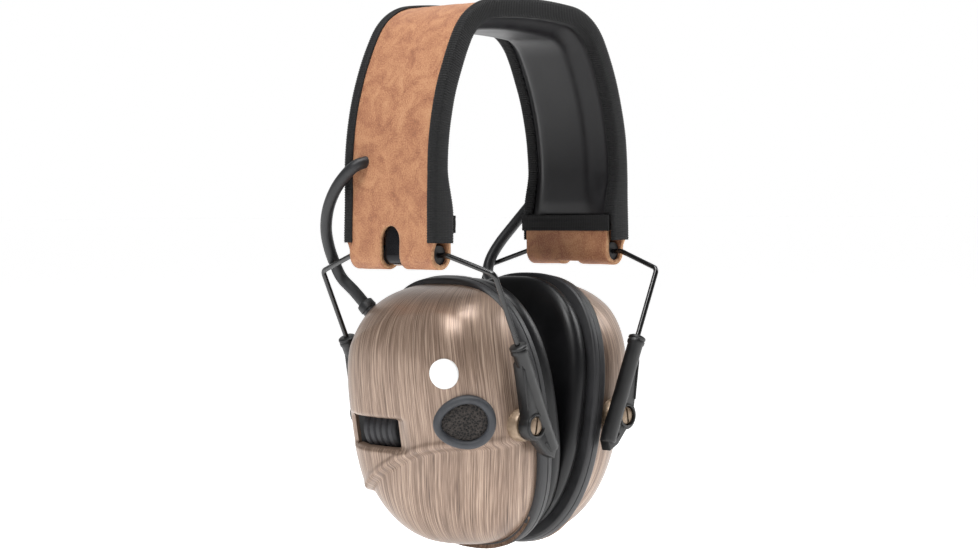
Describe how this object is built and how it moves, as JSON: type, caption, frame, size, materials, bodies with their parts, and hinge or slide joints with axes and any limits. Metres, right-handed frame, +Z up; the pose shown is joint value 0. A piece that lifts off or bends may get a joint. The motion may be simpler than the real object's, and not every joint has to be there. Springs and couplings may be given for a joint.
{
  "type": "earmuff hearing protector",
  "caption": "Electronic earmuff: padded leather headband, wire yokes, telescopic arms and two domed ear cups with black cushions and a volume roller.",
  "frame": {"origin": "middle of the underside of the headband's crown, where it rests on the head", "axes": "+X wearer's left, -Y front, +Z up"},
  "size_m": [0.124, 0.0958, 0.2102],
  "materials": {
    "leather": "tan, distressed, pebbled grain",
    "vinyl": "smooth satin black",
    "tape": "woven black, ribbed",
    "foam": "open cell",
    "spring_steel": "blackened",
    "wire": "black, semi-gloss",
    "nylon": "black, moulded",
    "shell_film": "taupe wood-grain film, satin",
    "plate_plastic": "dark grey, moulded",
    "bezel_rubber": "dark grey, matt",
    "knob_rubber": "black, ribbed",
    "badge_enamel": "white, plain",
    "lead_rubber": "black, smooth",
    "screw_steel": "zinc",
    "board": "green solder mask",
    "capsule": "plain",
    "cell": "plain wrap",
    "speaker_basket": "paper cone in a moulded basket"
  },
  "bodies": {
    "headband": {"headband_leather": "leather", "spring_strip": "spring_steel", "headband_foam": "foam", "headband_liner": "vinyl", "binding_front": "tape", "binding_rear": "tape", "band_lead": "lead_rubber", "end_tape_right": "tape", "hinge_sleeve_right": "nylon", "jumper_lead_right": "lead_rubber", "end_tape_left": "tape", "hinge_sleeve_left": "nylon", "jumper_lead_left": "lead_rubber"},
    "yoke_right": {"yoke_wire_right": "wire"},
    "arms_right": {"arm_front_right": "nylon", "arm_rear_right": "nylon"},
    "cup_right": {"shell_right": "shell_film", "back_plate_right": "plate_plastic", "cushion_frame_right": "nylon", "cushion_right": "vinyl", "acoustic_foam_right": "foam", "speaker_plate_right": "nylon", "speaker_right": "speaker_basket", "plate_screws_right": "screw_steel", "mic_bezel_right": "bezel_rubber", "mic_foam_right": "foam", "mic_capsule_right": "capsule", "badge_right": "badge_enamel", "lead_gland_right": "nylon", "potentiometer": "nylon", "knob_bracket": "nylon", "circuit_board": "board"},
    "yoke_left": {"yoke_wire_left": "wire"},
    "arms_left": {"arm_front_left": "nylon", "arm_rear_left": "nylon"},
    "cup_left": {"shell_left": "shell_film", "back_plate_left": "plate_plastic", "cushion_frame_left": "nylon", "cushion_left": "vinyl", "acoustic_foam_left": "foam", "speaker_plate_left": "nylon", "speaker_left": "speaker_basket", "plate_screws_left": "screw_steel", "mic_bezel_left": "bezel_rubber", "mic_foam_left": "foam", "mic_capsule_left": "capsule", "badge_left": "badge_enamel", "lead_gland_left": "nylon", "batteries": "cell", "battery_contacts": "screw_steel", "aux_jack": "nylon"},
    "volume_knob": {"volume_knob": "knob_rubber"},
    "battery_door": {"battery_door": "shell_film"}
  },
  "joints": [
    {"name": "yoke_swing_right", "type": "hinge", "parent": "headband", "child": "yoke_right", "pos_m": [-0.05066, 0, -0.08688], "axis": [0, 1, 0], "range_deg": [0, 28], "deforming": ["jumper_lead_right"]},
    {"name": "height_right", "type": "slide", "parent": "yoke_right", "child": "arms_right", "axis": [0.4286, 0, -0.9035], "range_m": [-0.008, 0.016], "deforming": ["jumper_lead_right", "cushion_right"]},
    {"name": "cup_tilt_right", "type": "hinge", "parent": "arms_right", "child": "cup_right", "pos_m": [-0.02673, 0, -0.14946], "axis": [0, 1, 0], "range_deg": [-7, 14], "deforming": ["jumper_lead_right", "cushion_right"]},
    {"name": "yoke_swing_left", "type": "hinge", "parent": "headband", "child": "yoke_left", "pos_m": [0.05066, 0, -0.08688], "axis": [0, -1, 0], "range_deg": [0, 28], "deforming": ["jumper_lead_left"]},
    {"name": "height_left", "type": "slide", "parent": "yoke_left", "child": "arms_left", "axis": [-0.4286, 0, -0.9035], "range_m": [-0.008, 0.016], "deforming": ["jumper_lead_left", "cushion_left"]},
    {"name": "cup_tilt_left", "type": "hinge", "parent": "arms_left", "child": "cup_left", "pos_m": [0.02673, 0, -0.14946], "axis": [0, -1, 0], "range_deg": [-7, 14], "deforming": ["jumper_lead_left", "cushion_left"]},
    {"name": "volume_turn", "type": "hinge", "parent": "cup_right", "child": "volume_knob", "pos_m": [-0.03811, 0.0158, -0.15238], "axis": [0, 1, 0], "range_deg": [0, 270]},
    {"name": "battery_door_swing", "type": "hinge", "parent": "cup_left", "child": "battery_door", "pos_m": [0.04691, 0, -0.16399], "axis": [0, 1, 0], "range_deg": [0, 95]}
  ]
}
